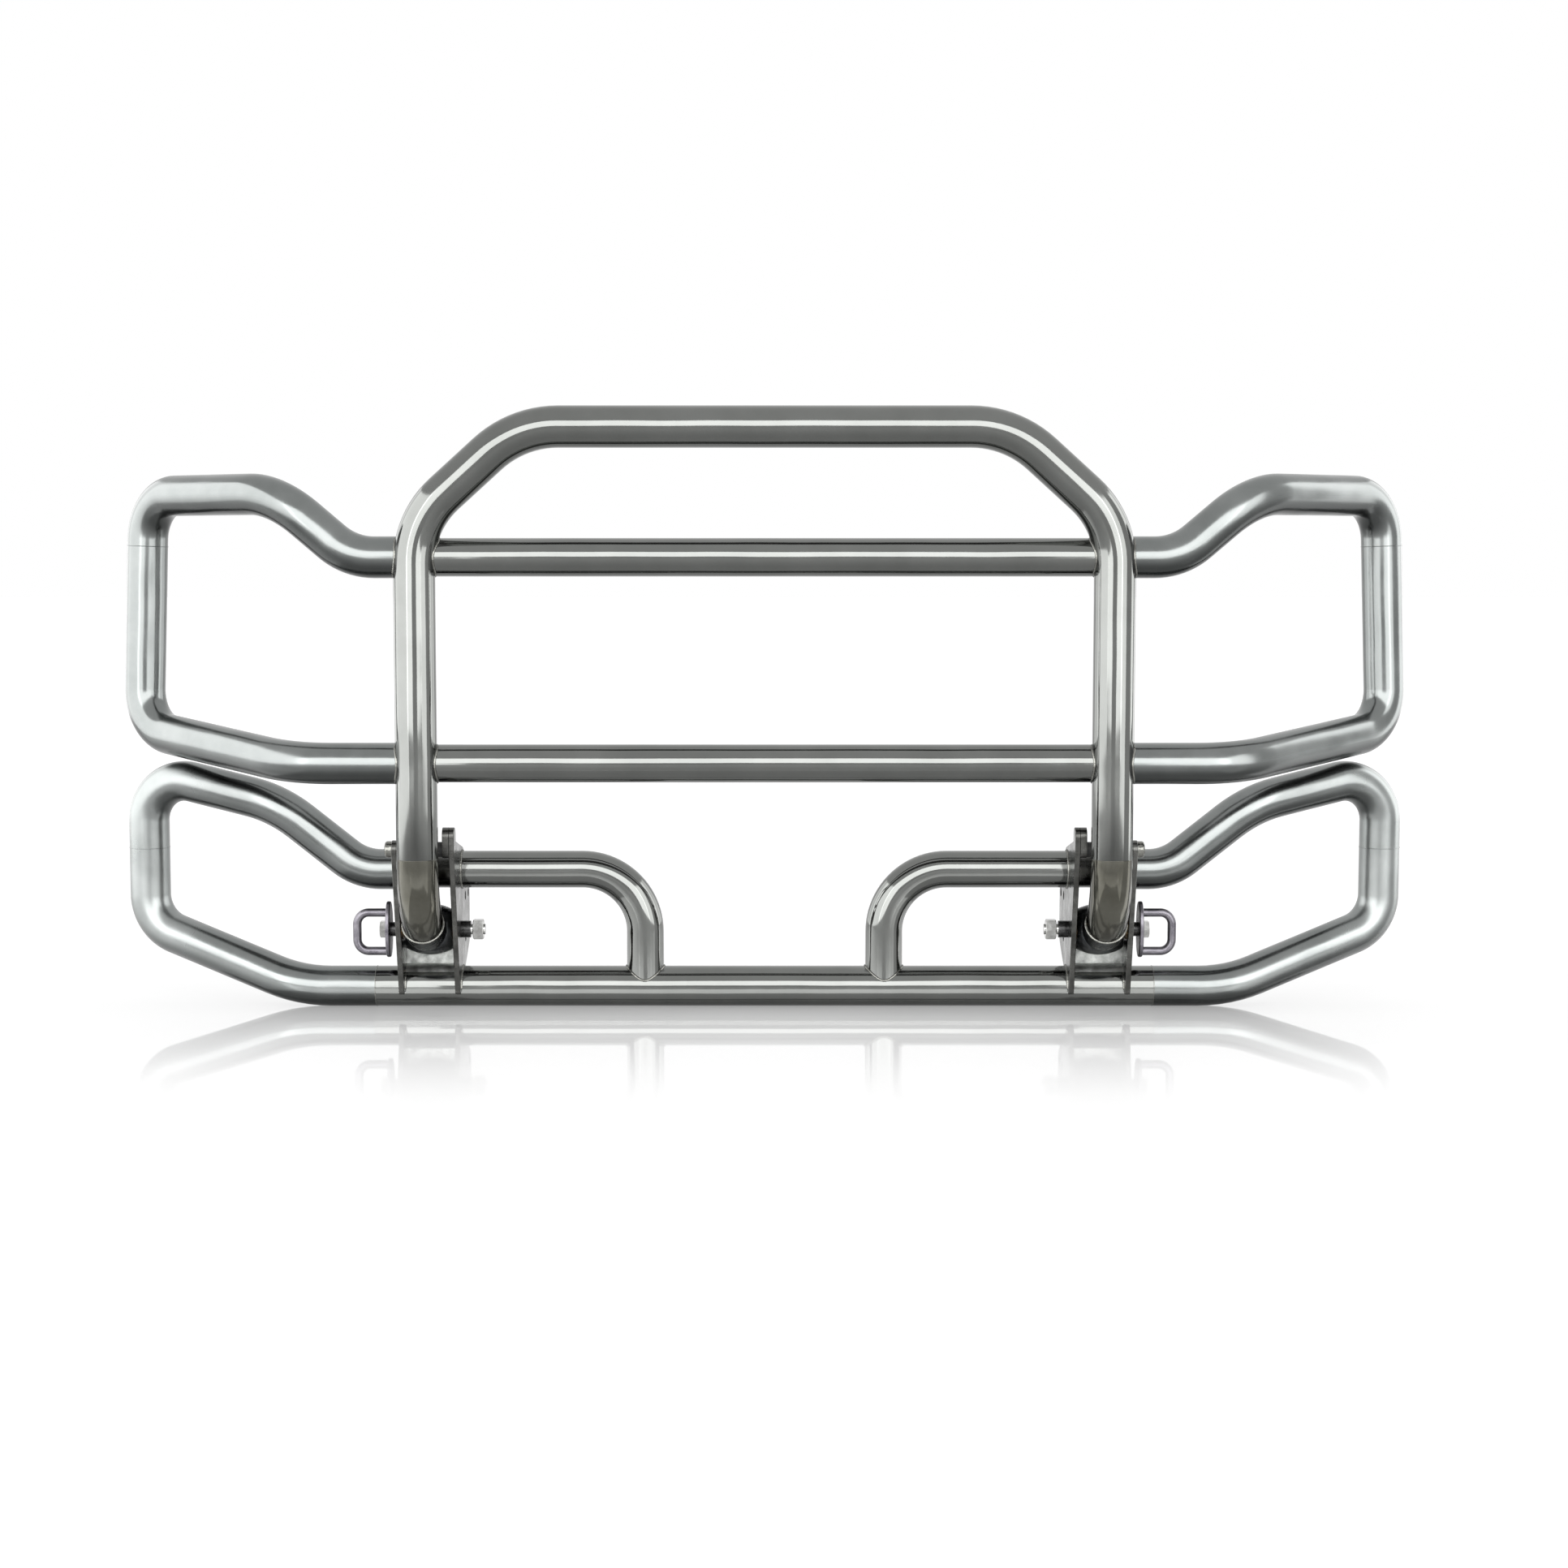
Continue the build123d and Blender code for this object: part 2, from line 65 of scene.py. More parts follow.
bpy.ops.object.camera_add(
    location=(0.0, -camera_distance, camera_height), rotation=(radians(90.0 - camera_pitch), 0.0, 0.0)
)
camera = bpy.context.object
camera.name = "camera"
camera.data.lens = camera_lens
camera.data.sensor_width = camera_sensor
camera.data.shift_x = camera_shift
camera.data.clip_end = camera_reach
bpy.context.scene.camera = camera
bpy.context.scene.view_settings.view_transform = "Standard"
print("camera at", tuple(round(v, 3) for v in camera.location))


# %% [markdown]
# ## Node helpers
#
# A material is a small graph. Every graph could be wired by hand, but the same few moves come back each
# time. These helpers start a material with its Principled shader, add one node with its values, and
# make a colour ramp or a smooth change, so that the cells below only say what is special about each
# finish.

# %% Node helpers
def start_material(name):
    """A new node material, its graph and its Principled shader."""
    material = bpy.data.materials.new(name)
    material.use_nodes = True
    return material, material.node_tree, material.node_tree.nodes["Principled BSDF"]


def add_node(tree, kind, label, **values):
    """One node of a kind, with a label and with values for its inputs or its own settings."""
    node = tree.nodes.new(kind)
    node.label = label
    for key, value in values.items():
        if key in node.inputs:
            node.inputs[key].default_value = value
        else:
            setattr(node, key, value)
    return node


def ramp_node(tree, label, stops):
    """A colour ramp from (place, colour) stops."""
    node = add_node(tree, "ShaderNodeValToRGB", label)
    ramp = node.color_ramp
    ramp.elements[0].position, ramp.elements[0].color = stops[0]
    ramp.elements[1].position, ramp.elements[1].color = stops[-1]
    for place, colour in stops[1:-1]:
        ramp.elements.new(place).color = colour
    return node


def ease_node(tree, label, low, high, at_low, at_high):
    """A smooth change from one value to another between two places."""
    ease = add_node(tree, "ShaderNodeMapRange", label, interpolation_type="SMOOTHSTEP")
    for key, value in (("From Min", low), ("From Max", high), ("To Min", at_low), ("To Max", at_high)):
        ease.inputs[key].default_value = value
    return ease


def grey(level):
    """A neutral colour."""
    return (level, level, level, 1.0)


print("node helpers ready")

# %% [markdown]
# ## World
#
# Polished metal shows what stands round it, so the room is part of the finish. A picture of a real room
# would do, but studios put a plain white tent round a shiny object, a little brighter overhead, and
# that takes only one ramp. Only rays that see or mirror the room get this ramp. Diffuse light comes
# from a plain even level, so that the floor stays evenly lit.

# %% World
horizon_level = 1.0
overhead_level = 1.15
walls_end = 0.28
ceiling_start = 0.70
even_level = 0.8

world = bpy.data.worlds.new("studio_room")
bpy.context.scene.world = world
world.use_nodes = True
room = world.node_tree
room.nodes.clear()
room_out = add_node(room, "ShaderNodeOutputWorld", "out")
room_seen = add_node(room, "ShaderNodeBackground", "room as seen", Strength=1.0)
room_even = add_node(room, "ShaderNodeBackground", "even light", Color=grey(even_level), Strength=1.0)
room_mix = add_node(room, "ShaderNodeMixShader", "seen or lit")
room_rays = add_node(room, "ShaderNodeLightPath", "which ray")
room_place = add_node(room, "ShaderNodeTexCoord", "direction")
room_split = add_node(room, "ShaderNodeSeparateXYZ", "height of the direction")
room_ramp = ramp_node(
    room,
    "walls to ceiling",
    [
        (0.0, grey(horizon_level)),
        (walls_end, grey(horizon_level)),
        (ceiling_start, grey(overhead_level)),
        (1.0, grey(overhead_level)),
    ],
)
room_glossy = add_node(room, "ShaderNodeMath", "camera or mirror", operation="MAXIMUM")
room_glass = add_node(room, "ShaderNodeMath", "or glass", operation="MAXIMUM")
room.links.new(room_place.outputs["Generated"], room_split.inputs["Vector"])
room.links.new(room_split.outputs["Z"], room_ramp.inputs["Fac"])
room.links.new(room_ramp.outputs["Color"], room_seen.inputs["Color"])
room.links.new(room_rays.outputs["Is Camera Ray"], room_glossy.inputs[0])
room.links.new(room_rays.outputs["Is Glossy Ray"], room_glossy.inputs[1])
room.links.new(room_glossy.outputs[0], room_glass.inputs[0])
room.links.new(room_rays.outputs["Is Transmission Ray"], room_glass.inputs[1])
room.links.new(room_glass.outputs[0], room_mix.inputs["Fac"])
room.links.new(room_even.outputs[0], room_mix.inputs[1])
room.links.new(room_seen.outputs[0], room_mix.inputs[2])
room.links.new(room_mix.outputs[0], room_out.inputs["Surface"])
print("room from", horizon_level, "at the floor to", overhead_level, "overhead")

# %% [markdown]
# ## Floor
#
# The guard stands on a floor. A small plane would end in view, so it is wide enough to reach the
# horizon.

# %% Floor
floor_half = 40.0

bpy.ops.mesh.primitive_plane_add(size=2 * floor_half, location=(0.0, 0.0, 0.0))
floor = bpy.context.object
floor.name = "floor"
print("floor", 2 * floor_half, "m wide")

# %% [markdown]
# ## Finish of the floor
#
# The floor is pale and mirrors the foot of the guard. A glossy floor all over would mirror the whole
# room, so the shine is mixed over the paint only near the guard and fades in front and behind. The
# paint glows a little for rays that see it, which keeps it white without washing out the shadow.

# %% Finish of the floor
floor_colour = 0.6
floor_roughness = 0.6
floor_specular = 0.1
floor_glow_strength = 0.54
mirror_share = 0.5
mirror_roughness = 0.03
mirror_middle_y = 0.1
mirror_reach = 1.1

floor_paint, floor_tree, floor_shader = start_material("pale_floor")
floor_shader.inputs["Base Color"].default_value = grey(floor_colour)
floor_shader.inputs["Roughness"].default_value = floor_roughness
floor_shader.inputs["Specular IOR Level"].default_value = floor_specular
floor_out = floor_tree.nodes["Material Output"]
floor_rays = add_node(floor_tree, "ShaderNodeLightPath", "which ray")
floor_camera = add_node(floor_tree, "ShaderNodeMath", "camera or mirror", operation="MAXIMUM")
floor_glass = add_node(floor_tree, "ShaderNodeMath", "or glass", operation="MAXIMUM")
floor_glow = add_node(
    floor_tree, "ShaderNodeEmission", "white as seen", Color=grey(1.0), Strength=floor_glow_strength
)
floor_dark = add_node(floor_tree, "ShaderNodeEmission", "no glow", Color=grey(0.0), Strength=0.0)
floor_pick = add_node(floor_tree, "ShaderNodeMixShader", "glow only when seen")
floor_sum = add_node(floor_tree, "ShaderNodeAddShader", "paint and glow")
floor_gloss = add_node(
    floor_tree, "ShaderNodeBsdfGlossy", "shine", Color=grey(1.0), Roughness=mirror_roughness
)
floor_mix = add_node(floor_tree, "ShaderNodeMixShader", "shine over paint")
floor_place = add_node(floor_tree, "ShaderNodeTexCoord", "place")
floor_split = add_node(floor_tree, "ShaderNodeSeparateXYZ", "distance in front")
floor_offset = add_node(floor_tree, "ShaderNodeMath", "in front or behind", operation="SUBTRACT")
floor_offset.inputs[1].default_value = mirror_middle_y
floor_away = add_node(floor_tree, "ShaderNodeMath", "distance from the guard", operation="ABSOLUTE")
floor_fade = ease_node(floor_tree, "shine fades", 0.0, mirror_reach, mirror_share, 0.0)
floor_tree.links.new(floor_rays.outputs["Is Camera Ray"], floor_camera.inputs[0])
floor_tree.links.new(floor_rays.outputs["Is Glossy Ray"], floor_camera.inputs[1])
floor_tree.links.new(floor_camera.outputs[0], floor_glass.inputs[0])
floor_tree.links.new(floor_rays.outputs["Is Transmission Ray"], floor_glass.inputs[1])
floor_tree.links.new(floor_glass.outputs[0], floor_pick.inputs["Fac"])
floor_tree.links.new(floor_dark.outputs[0], floor_pick.inputs[1])
floor_tree.links.new(floor_glow.outputs[0], floor_pick.inputs[2])
floor_tree.links.new(floor_shader.outputs[0], floor_sum.inputs[0])
floor_tree.links.new(floor_pick.outputs[0], floor_sum.inputs[1])
floor_tree.links.new(floor_place.outputs["Object"], floor_split.inputs["Vector"])
floor_tree.links.new(floor_split.outputs["Y"], floor_offset.inputs[0])
floor_tree.links.new(floor_offset.outputs[0], floor_away.inputs[0])
floor_tree.links.new(floor_away.outputs[0], floor_fade.inputs["Value"])
floor_tree.links.new(floor_fade.outputs["Result"], floor_mix.inputs["Fac"])
floor_tree.links.new(floor_sum.outputs[0], floor_mix.inputs[1])
floor_tree.links.new(floor_gloss.outputs[0], floor_mix.inputs[2])
floor_tree.links.new(floor_mix.outputs[0], floor_out.inputs["Surface"])
floor.data.materials.append(floor_paint)
print("floor mirrors", mirror_share, "of the light near the guard")


# %% [markdown]
# ## Front wall
#
# Polished tube is drawn by the walls that it mirrors. Small lamps would only put dots on it, so large
# area lights stand in for lit walls. Blender spreads a lamp's watts over its face, so the watts are
# worked out from the size of the wall and from how bright it should look. The wide wall in front gives
# the bright line along every level tube. A door left open low in its middle keeps the guard's foot
# darker.

# %% Front wall
watts_per_radiance = 4.0
front_radiance = 3.4
front_y = -7.2
front_half = 6.0
front_top = 5.2
door_half = 1.45
door_top = 1.35
floor_gap = 0.04
front_middle_z = (front_top + door_top) / 2
sides = (("left", -1), ("right", 1))


def soft_wall(name, place, aim, width, height, radiance):
    """An area light at a place, facing a point, as bright as given wherever it is seen."""
    bpy.ops.object.light_add(type="AREA", location=place)
    lamp = bpy.context.object
    lamp.name = name
    lamp.data.shape = "RECTANGLE"
    lamp.data.size = width
    lamp.data.size_y = height
    lamp.data.energy = radiance * watts_per_radiance * width * height
    lamp.rotation_euler = (Vector(aim) - Vector(place)).to_track_quat("-Z", "Y").to_euler()
    lamp.visible_diffuse = False


soft_wall(
    "front_wall", (0.0, front_y, front_middle_z), (0.0, 0.0, front_middle_z),
    2 * front_half, front_top - door_top, front_radiance,
)
for side, sign in sides:
    door_side_x = sign * (front_half + door_half) / 2
    soft_wall(
        f"front_{side}_wall", (door_side_x, front_y, door_top / 2), (door_side_x, 0.0, door_top / 2),
        front_half - door_half, door_top - floor_gap, front_radiance,
    )
print("front wall", 2 * front_half, "m wide, lit at", front_radiance)

# %% [markdown]
# ## Side walls
#
# The walls at the sides light the uprights over most of their width. Two equal walls would make the
# tubes look flat, so a gap is left open on the right, which draws the thin dark line down each upright.
# Towards the back both sides are dimmer, so that the edges of the tubes stand out from the white room.

# %% Side walls
side_radiance = 2.5
back_radiance = 1.3
wall_x = 3.4
wall_height = 3.0
walls_front_y = -4.6
gap_front_y = -1.7
gap_back_y = 0.15
walls_dim_y = 1.2
walls_back_y = 3.8


def side_wall(name, sign, near_y, far_y, radiance):
    """A soft wall beside the guard, standing on the floor between two distances."""
    middle_y = (near_y + far_y) / 2
    middle_z = wall_height / 2
    soft_wall(
        name, (sign * wall_x, middle_y, middle_z), (0.0, middle_y, middle_z),
        far_y - near_y, wall_height, radiance,
    )


side_wall("left_wall", -1, walls_front_y, walls_dim_y, side_radiance)
side_wall("left_back_wall", -1, walls_dim_y, walls_back_y, back_radiance)
side_wall("right_front_wall", 1, walls_front_y, gap_front_y, side_radiance)
side_wall("right_wall", 1, gap_back_y, walls_dim_y, side_radiance)
side_wall("right_back_wall", 1, walls_dim_y, walls_back_y, back_radiance)


# %% [markdown]
# ## Metal
#
# Everything but the rollers is metal that differs in tint, in sharpness and in how uneven it is, so one
# helper makes all the finishes. A metal with the same value everywhere would look too perfect. So one
# noise drifts the tint and the roughness in patches, a second one lifts the surface in slow lumps, and
# a fine grain can lie on top. The helper can also paint shade into the tint of what faces down.

# %% Metal helper
patch_low, patch_high = 0.3, 0.7
tint_low, tint_high = 0.35, 0.65
# Painted shade: surfaces facing down past the first value get the full darkening, and those above the second
# get none.
painted_shade_full_z, painted_shade_none_z = -0.55, 0.12
grain_scale = 900.0


def scale_tint(material, label, factor):
    """Multiply the tint of a finish by what a socket gives."""
    tree = material.node_tree
    tint_input = tree.nodes["Principled BSDF"].inputs["Base Color"]
    scaled = add_node(tree, "ShaderNodeVectorMath", label, operation="SCALE")
    tree.links.new(tint_input.links[0].from_socket, scaled.inputs[0])
    tree.links.new(factor, scaled.inputs["Scale"])
    tree.links.new(scaled.outputs["Vector"], tint_input)


def worn_metal(name, dark, light, smooth, rough, patches, lumps, lift, grain=0.0, underside_shade=1.0):
    """Metal with patches of tint and roughness, lumps lifted by some metres, and a fine grain.

    What faces down has its tint scaled by the given painted shade, where 1 means no darker than the top.
    """
    material, tree, shader = start_material(name)
    shader.inputs["Metallic"].default_value = 1.0
    place = add_node(tree, "ShaderNodeTexCoord", "place")
    drift = add_node(tree, "ShaderNodeTexNoise", "patches", Scale=patches, Detail=4.0, Roughness=0.6)
    spread = add_node(tree, "ShaderNodeMapRange", "roughness")
    spread.inputs["From Min"].default_value = patch_low
    spread.inputs["From Max"].default_value = patch_high
    spread.inputs["To Min"].default_value = smooth
    spread.inputs["To Max"].default_value = rough
    tint = ramp_node(tree, "tint", [(tint_low, (*dark, 1.0)), (tint_high, (*light, 1.0))])
    waves = add_node(tree, "ShaderNodeTexNoise", "lumps", Scale=lumps, Detail=1.0, Roughness=0.5)
    bump = add_node(tree, "ShaderNodeBump", "lifted surface", Strength=1.0, Distance=lift)
    way_up = add_node(tree, "ShaderNodeSeparateXYZ", "which way the surface faces")
    # Painted shade: the tint of what faces down is scaled darker.
    painted_shade_ease = ease_node(tree, "painted shade underneath", painted_shade_full_z, painted_shade_none_z, underside_shade, 1.0)
    tree.links.new(place.outputs["Object"], drift.inputs["Vector"])
    tree.links.new(place.outputs["Object"], waves.inputs["Vector"])
    tree.links.new(place.outputs["Normal"], way_up.inputs["Vector"])
    tree.links.new(drift.outputs["Fac"], spread.inputs["Value"])
    tree.links.new(drift.outputs["Fac"], tint.inputs["Fac"])
    tree.links.new(spread.outputs["Result"], shader.inputs["Roughness"])
    tree.links.new(waves.outputs["Fac"], bump.inputs["Height"])
    tree.links.new(way_up.outputs["Z"], painted_shade_ease.inputs["Value"])
    tree.links.new(tint.outputs["Color"], shader.inputs["Base Color"])
    scale_tint(material, "tint with painted shade underneath", painted_shade_ease.outputs["Result"])
    if grain:
        fine = add_node(tree, "ShaderNodeTexNoise", "grain", Scale=grain_scale, Detail=2.0, Roughness=0.6)
        fine_bump = add_node(tree, "ShaderNodeBump", "grain", Strength=1.0, Distance=grain)
        tree.links.new(place.outputs["Object"], fine.inputs["Vector"])
        tree.links.new(fine.outputs["Fac"], fine_bump.inputs["Height"])
        tree.links.new(bump.outputs["Normal"], fine_bump.inputs["Normal"])
        bump = fine_bump
    tree.links.new(bump.outputs["Normal"], shader.inputs["Normal"])
    return material


print("metal helper ready")

# %% [markdown]
# ## Finishes of the tubes
#
# The tubes are stainless steel, ground along their length and buffed to a dark mirror. Hand buffing
# leaves the surface a little wavy, so the mirrored walls wander by a degree or two. The wings have more
# bends, which are harder to buff, so their mirror is softer, and their tint is raised a little as
# painted light. The elbows at the uprights' feet are browner, and darker as painted shade of the bend
# that faces the ground. The straight tubes and the wings get painted shade on what faces down, the
# wings most. One finish for all would be simpler, but it would hide which tube is which.

# %% Finishes of the tubes
# The last value of each look is painted shade on what faces down, strongest on the wings.
tube_look = {
    "dark": (0.142, 0.146, 0.140), "light": (0.160, 0.164, 0.158), "smooth": 0.06, "rough": 0.12,
    "patches": 9.0, "lumps": 6.0, "lift": 0.0030, "underside_shade": 0.72,
}
# Painted light: the wings' tint is set above that of the other tubes.
wing_look = {
    "dark": (0.156, 0.165, 0.162), "light": (0.188, 0.197, 0.194), "smooth": 0.15, "rough": 0.27,
    "patches": 9.0, "lumps": 7.0, "lift": 0.0040, "underside_shade": 0.30,
}
tube_steel = worn_metal("tube_steel", **tube_look)
hoop_steel = worn_metal("hoop_steel", **tube_look)
wing_steel = worn_metal("wing_steel", **wing_look)
low_wing_steel = worn_metal("low_wing_steel", **wing_look)
# Painted shade: the elbows bend back towards the ground, and their darker tint paints that shade in.
shaded_elbow_steel = worn_metal(
    "shaded_elbow_steel", dark=(0.078, 0.076, 0.063), light=(0.108, 0.106, 0.091), smooth=0.08, rough=0.18,
    patches=14.0, lumps=16.0, lift=0.0022,
)
print("tube finishes:", tube_steel.name, hoop_steel.name, wing_steel.name, low_wing_steel.name)


# %% [markdown]
# ## Foot of the uprights and tips of the lower wings
#
# The uprights get a painted dark reflection just above their elbows, most on the middle of the tube.
# The tips of the lower wings are buffed less sharply, and their tint is raised there as painted light.
# A mask painted by hand would do it too, but a smooth change over the place of the surface needs no
# image, and it can be moved by changing one number.

# %% Foot and tips
foot_low_z = 0.32
foot_high_z = 0.46
foot_painted_shade = 0.45
tip_near_x = 1.02
tip_far_x = 1.16
tip_painted_light = 1.35
tip_blur = 0.10


def paint_foot_shade(material):
    """Paint a dark reflection onto the foot of the uprights, highest on the middle of the tube and lower at
    its edges.
    """
    tree = material.node_tree
    place = add_node(tree, "ShaderNodeTexCoord", "place of the foot")
    height = add_node(tree, "ShaderNodeSeparateXYZ", "height")
    facing_way = add_node(tree, "ShaderNodeSeparateXYZ", "way it faces")
    edge = add_node(tree, "ShaderNodeMath", "how far round", operation="ABSOLUTE")
    raised = add_node(tree, "ShaderNodeMath", "height and edge", operation="MULTIPLY_ADD")
    raised.inputs[1].default_value = foot_high_z - foot_low_z
    # Painted dark reflection: the tint falls off towards the foot of the uprights.
    ease = ease_node(tree, "painted shade at the foot", foot_low_z, foot_high_z, foot_painted_shade, 1.0)
    tree.links.new(place.outputs["Object"], height.inputs["Vector"])
    tree.links.new(place.outputs["Normal"], facing_way.inputs["Vector"])
    tree.links.new(facing_way.outputs["X"], edge.inputs[0])
    tree.links.new(edge.outputs[0], raised.inputs[0])
    tree.links.new(height.outputs["Z"], raised.inputs[2])
    tree.links.new(raised.outputs[0], ease.inputs["Value"])
    scale_tint(material, "tint with painted foot shade", ease.outputs["Result"])


def soften_and_light_tips(material):
    """Paint light into a wing's tint and blur its mirror towards the tip."""
    tree = material.node_tree
    place = add_node(tree, "ShaderNodeTexCoord", "place of the tip")
    across = add_node(tree, "ShaderNodeSeparateXYZ", "across")
    away = add_node(tree, "ShaderNodeMath", "distance from the middle", operation="ABSOLUTE")
    # Painted light: the tint is raised towards the tip.
    lighter = ease_node(tree, "painted light at the tip", tip_near_x, tip_far_x, 1.0, tip_painted_light)
    blurred = ease_node(tree, "blurred tip", tip_near_x, tip_far_x, 0.0, tip_blur)
    total = add_node(tree, "ShaderNodeMath", "roughness with its tip", operation="ADD")
    rough_input = tree.nodes["Principled BSDF"].inputs["Roughness"]
    tree.links.new(place.outputs["Object"], across.inputs["Vector"])
    tree.links.new(across.outputs["X"], away.inputs[0])
    tree.links.new(away.outputs[0], lighter.inputs["Value"])
    tree.links.new(away.outputs[0], blurred.inputs["Value"])
    tree.links.new(rough_input.links[0].from_socket, total.inputs[0])
    tree.links.new(blurred.outputs["Result"], total.inputs[1])
    tree.links.new(total.outputs[0], rough_input)
    scale_tint(material, "tint with painted tip light", lighter.outputs["Result"])


paint_foot_shade(hoop_steel)
soften_and_light_tips(low_wing_steel)
print("nodes of the foot and the tips:", len(hoop_steel.node_tree.nodes), len(low_wing_steel.node_tree.nodes))

# %% [markdown]
# ## Finishes of the brackets and the screws
#
# The bracket plates are brushed and dirty. The saddles sit in shade between the plates, so their pale
# tint is painted light, and the hollow webs between the plates are in between. Welds keep a fine dark
# scale. The hubs are raw castings, the bushes in them are bronze, and the screws are plated. Each is the
# same metal helper with other values, which keeps the whole guard in one family. All but the bronze
# have a fine grain.

# %% Finishes of the brackets and the screws
bracket_steel = worn_metal(
    "bracket_steel", dark=(0.048, 0.048, 0.045), light=(0.098, 0.098, 0.093), smooth=0.16, rough=0.34,
    patches=22.0, lumps=40.0, lift=0.0010, grain=0.00005,
)
# Painted light: the saddles sit in shade between the plates, and their pale tint lifts them out of it.
saddle_painted_light = worn_metal(
    "saddle_painted_light", dark=(0.480, 0.485, 0.470), light=(0.700, 0.710, 0.690), smooth=0.35, rough=0.55,
    patches=45.0, lumps=60.0, lift=0.0010, grain=0.0001,
)
cradle_steel = worn_metal(
    "cradle_steel", dark=(0.130, 0.134, 0.130), light=(0.340, 0.350, 0.335), smooth=0.25, rough=0.45,
    patches=45.0, lumps=60.0, lift=0.0020, grain=0.0001,
)
weld_steel = worn_metal(
    "weld_steel", dark=(0.12, 0.12, 0.11), light=(0.20, 0.20, 0.185), smooth=0.14, rough=0.30,
    patches=60.0, lumps=180.0, lift=0.0008, grain=0.00005,
)
hub_casting = worn_metal(
    "hub_casting", dark=(0.030, 0.032, 0.034), light=(0.075, 0.078, 0.080), smooth=0.22, rough=0.42,
    patches=30.0, lumps=120.0, lift=0.0010, grain=0.0002,
)
bush_bronze = worn_metal(
    "bush_bronze", dark=(0.35, 0.22, 0.10), light=(0.50, 0.33, 0.16), smooth=0.20, rough=0.35,
    patches=60.0, lumps=60.0, lift=0.0004,
)
plated_steel = worn_metal(
    "plated_steel", dark=(0.28, 0.28, 0.27), light=(0.45, 0.45, 0.44), smooth=0.10, rough=0.26,
    patches=70.0, lumps=70.0, lift=0.0006, grain=0.00003,
)
black_steel = worn_metal(
    "black_steel", dark=(0.020, 0.020, 0.020), light=(0.060, 0.060, 0.060), smooth=0.20, rough=0.40,
    patches=80.0, lumps=90.0, lift=0.0004, grain=0.00003,
)
handle_steel = worn_metal(
    "handle_steel", dark=(0.100, 0.094, 0.108), light=(0.165, 0.158, 0.174), smooth=0.24, rough=0.42,
    patches=45.0, lumps=60.0, lift=0.0008, grain=0.00006,
)
print("materials so far:", [material.name for material in bpy.data.materials])

# %% [markdown]
# ## Rubber finish
#
# The rollers behind the uprights are black rubber. Rubber is no metal: it is nearly black and dull, and
# a little dusty. One noise could drive only the colour, but dust also dulls the surface and stands up
# from it, so the same noise drives all three.

# %% Rubber finish
rubber_black = 0.014
rubber_dusty = 0.05
rubber_smooth = 0.5
rubber_rough = 0.9

stop_rubber, rubber_tree, rubber_shader = start_material("stop_rubber")
rubber_place = add_node(rubber_tree, "ShaderNodeTexCoord", "place")
rubber_dust = add_node(rubber_tree, "ShaderNodeTexNoise", "dust", Scale=50.0, Detail=5.0)
rubber_tint = ramp_node(rubber_tree, "tint", [(0.4, grey(rubber_black)), (0.8, grey(rubber_dusty))])
rubber_spread = add_node(rubber_tree, "ShaderNodeMapRange", "roughness")
rubber_spread.inputs["To Min"].default_value = rubber_smooth
rubber_spread.inputs["To Max"].default_value = rubber_rough
rubber_bump = add_node(rubber_tree, "ShaderNodeBump", "skin", Strength=0.6, Distance=0.0004)
rubber_tree.links.new(rubber_place.outputs["Object"], rubber_dust.inputs["Vector"])
rubber_tree.links.new(rubber_dust.outputs["Fac"], rubber_tint.inputs["Fac"])
rubber_tree.links.new(rubber_dust.outputs["Fac"], rubber_spread.inputs["Value"])
rubber_tree.links.new(rubber_dust.outputs["Fac"], rubber_bump.inputs["Height"])
rubber_tree.links.new(rubber_tint.outputs["Color"], rubber_shader.inputs["Base Color"])
rubber_tree.links.new(rubber_spread.outputs["Result"], rubber_shader.inputs["Roughness"])
rubber_tree.links.new(rubber_bump.outputs["Normal"], rubber_shader.inputs["Normal"])
print("rubber nodes:", len(rubber_tree.nodes))

# %% [markdown]
# ## Finish of the CAD nodes
#
# Small machined pieces keep their CAD mesh, which is exact already, so modelling them again would gain
# nothing. Only their material changes. The start of a node's name says what it is made of, and what no
# entry names is tube.

# %% Finish of the CAD nodes
finish_of = {
    "bracket_": bracket_steel,
    "tube_saddle": saddle_painted_light,
    "cradle_web": cradle_steel,
    "ear_pad": bracket_steel,
    "anchor_bosses": black_steel,
    "pivot_hub": hub_casting,
    "hub_bushes": bush_bronze,
    "stop_pins": weld_steel,
    "clamp_screw": plated_steel,
    "end_nut": plated_steel,
    "thrust_washer": plated_steel,
    "screw_collar": black_steel,
    "handle_": handle_steel,
    "stop_roller": stop_rubber,
}
for node_name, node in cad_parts.items():
    finish = next((f for start, f in finish_of.items() if node_name.startswith(start)), tube_steel)
    node.data.materials.clear()
    node.data.materials.append(finish)
print("finishes given to", len(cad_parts), "nodes")

# %% [markdown]
# ## Bent tube
#
# The real guard is bent from straight steel tube on a machine that grips the tube and rolls it round a
# die. A curve with a round bevel would be quicker, but it pinches at tight corners. So the machine's
# way is followed: a circle is drawn at one end, pushed out along each straight run, and spun round the
# die's centre at each bend. That keeps the section perfectly round, and it makes long clean faces that
# mirror without ripples.

# %% Bent tube helper
tube_sides = 96
degrees_per_ring = 4.0
fewest_rings = 4
shortest_run = 1e-5
merge_distance = 1e-6
tube_smooth_angle = radians(35.0)


def select_only(piece):
    """Make one object the active and only selected one."""
    bpy.ops.object.select_all(action="DESELECT")
    piece.select_set(True)
    bpy.context.view_layer.objects.active = piece


def settle(piece):
    """Move the object's place, turn and scale into its mesh, so that its origin is the guard's."""
    select_only(piece)
    bpy.ops.object.transform_apply(location=True, rotation=True, scale=True)


